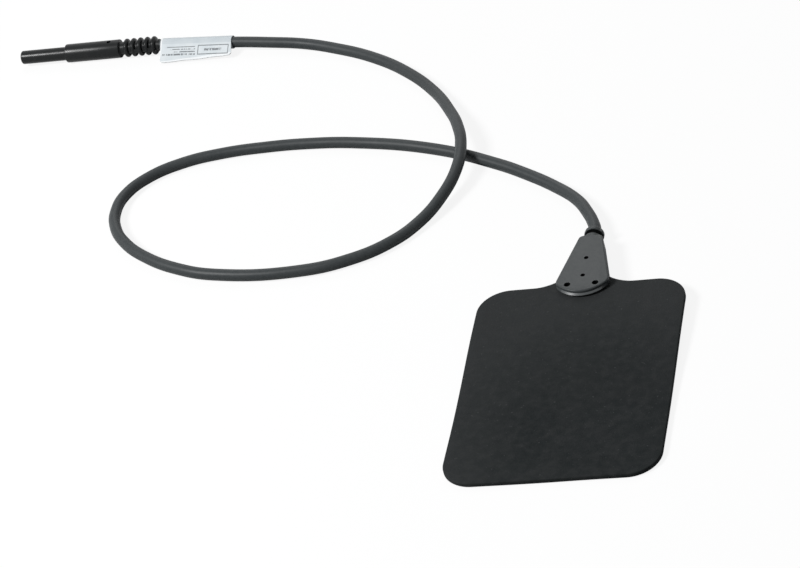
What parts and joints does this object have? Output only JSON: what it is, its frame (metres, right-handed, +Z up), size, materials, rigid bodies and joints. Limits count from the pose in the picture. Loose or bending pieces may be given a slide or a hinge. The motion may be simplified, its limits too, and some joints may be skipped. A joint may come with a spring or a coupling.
{
  "type": "rubber electrode pad",
  "caption": "Thin rubber electrode pad with a fan-shaped moulded connector, a looped lead, a white marking tag and a slim socket plug, for passing small currents to the skin.",
  "frame": {"origin": "middle of the box round the pad and its connector, on the table", "axes": "+Y from the pad towards its connector, +Z up from the table, +X to the right"},
  "size_m": [0.2429, 0.233, 0.0076],
  "materials": {
    "pad_rubber": "matt, slightly mottled",
    "soft_plastic": "satin, soft edges",
    "bright_metal": "nickel plated",
    "copper_strand": "bare copper",
    "lead_jacket": "satin",
    "plug_plastic": "half gloss",
    "tag_film": "smooth film"
  },
  "bodies": {
    "root": {"electrode_pad": "pad_rubber", "connector_moulding": "soft_plastic", "contact_plate": "bright_metal", "pad_conductor": "copper_strand", "lead": "lead_jacket", "plug_body": "plug_plastic", "nose_sleeve": "plug_plastic", "socket_contact": "bright_metal", "plug_conductor": "copper_strand", "tag": "tag_film"}
  },
  "joints": []
}
